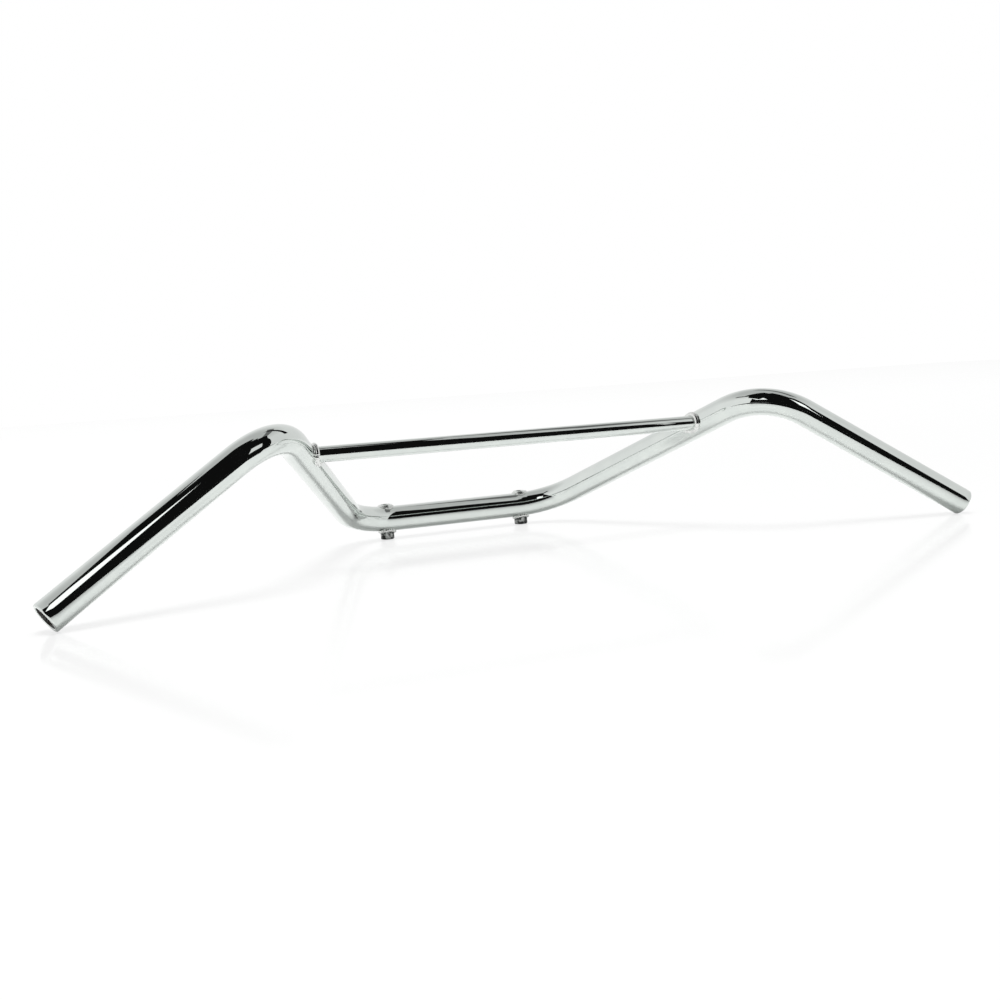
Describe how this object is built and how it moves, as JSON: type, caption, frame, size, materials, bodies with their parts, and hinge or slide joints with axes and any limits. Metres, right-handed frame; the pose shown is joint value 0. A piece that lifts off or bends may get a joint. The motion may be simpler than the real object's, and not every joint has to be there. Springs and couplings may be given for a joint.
{
  "type": "moped handlebar",
  "caption": "Bent chrome-plated steel tube with swept grips and raised uprights, stiffened by a welded cross brace and bolted to a fork through sleeves in its base.",
  "frame": {"origin": "midway between the axes of the two bolt sleeves, in the plane of their seats", "axes": "+X along the base towards the right-hand grip, +Z square to the plane of the seats, on the side where the uprights rise; the rider is on the -Y side"},
  "size_m": [0.732, 0.269, 0.1145],
  "materials": {
    "tube_chrome": "bright mirror chrome plate on bent steel tube",
    "brace_chrome": "bright mirror chrome plate on drawn steel tube",
    "sleeve_chrome": "chrome plate over fine turning marks",
    "weld_chrome": "chrome plate over a rippled weld bead"
  },
  "bodies": {
    "root": {"handlebar_tube": "tube_chrome", "cross_brace": "brace_chrome", "left_sleeve": "sleeve_chrome", "right_sleeve": "sleeve_chrome", "left_brace_weld": "weld_chrome", "right_brace_weld": "weld_chrome", "left_sleeve_lower_weld": "weld_chrome", "left_sleeve_upper_weld": "weld_chrome", "right_sleeve_lower_weld": "weld_chrome", "right_sleeve_upper_weld": "weld_chrome"}
  },
  "joints": []
}
